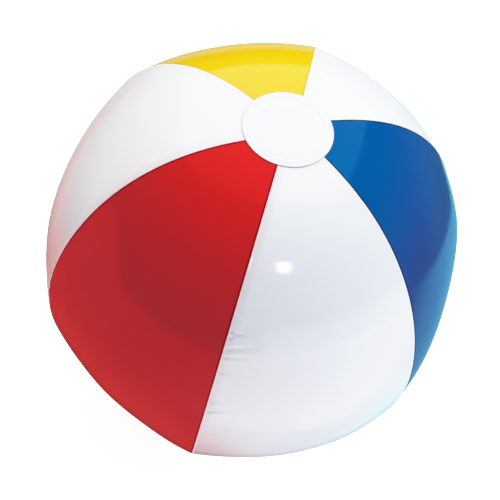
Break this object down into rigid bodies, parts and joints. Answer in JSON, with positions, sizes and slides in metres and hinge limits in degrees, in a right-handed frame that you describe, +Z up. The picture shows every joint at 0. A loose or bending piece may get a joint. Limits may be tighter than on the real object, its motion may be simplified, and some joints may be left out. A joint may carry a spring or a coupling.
{
  "type": "inflatable beach ball",
  "caption": "Inflated beach ball of welded coloured film panels with a round cap at each pole and a push-in valve in a white panel.",
  "frame": {"origin": "middle of the flat foot under the bottom cap, on the pole axis", "axes": "+Z up along the pole axis, from the bottom cap to the top cap; +Y out of the valve, which is in the middle of one white panel at the equator; +X along a seam of the blue panel"},
  "size_m": [0.336, 0.328, 0.3248],
  "materials": {
    "red_film": "high gloss soft vinyl film",
    "white_film": "high gloss soft vinyl film",
    "blue_film": "high gloss soft vinyl film",
    "yellow_film": "high gloss soft vinyl film",
    "cap_film": "gloss soft vinyl film with a pressed weld ring",
    "valve_vinyl": "satin soft clear vinyl moulding"
  },
  "bodies": {
    "ball": {"blue_panel": "blue_film", "valve_panel": "white_film", "yellow_panel": "yellow_film", "left_white_panel": "white_film", "red_panel": "red_film", "front_white_panel": "white_film", "top_cap": "cap_film", "bottom_cap": "cap_film", "valve_flange": "valve_vinyl", "valve_web": "valve_vinyl"},
    "valve_stem": {"valve_stem": "valve_vinyl", "stopper_tether": "valve_vinyl"},
    "stopper": {"stopper": "valve_vinyl"},
    "check_flap": {"check_flap": "valve_vinyl"}
  },
  "joints": [
    {"name": "valve_pop_out", "type": "slide", "parent": "ball", "child": "valve_stem", "axis": [0, 1, 0], "range_m": [0, 0.012], "deforming": ["valve_web"]},
    {"name": "stopper_swing", "type": "hinge", "parent": "valve_stem", "child": "stopper", "pos_m": [0, 0.1639, 0.17038], "axis": [1, 0, 0], "range_deg": [0, 150], "deforming": ["stopper_tether"]},
    {"name": "check_flap_swing", "type": "hinge", "parent": "valve_stem", "child": "check_flap", "pos_m": [0, 0.1503, 0.16658], "axis": [-1, 0, 0], "range_deg": [0, 45]}
  ]
}
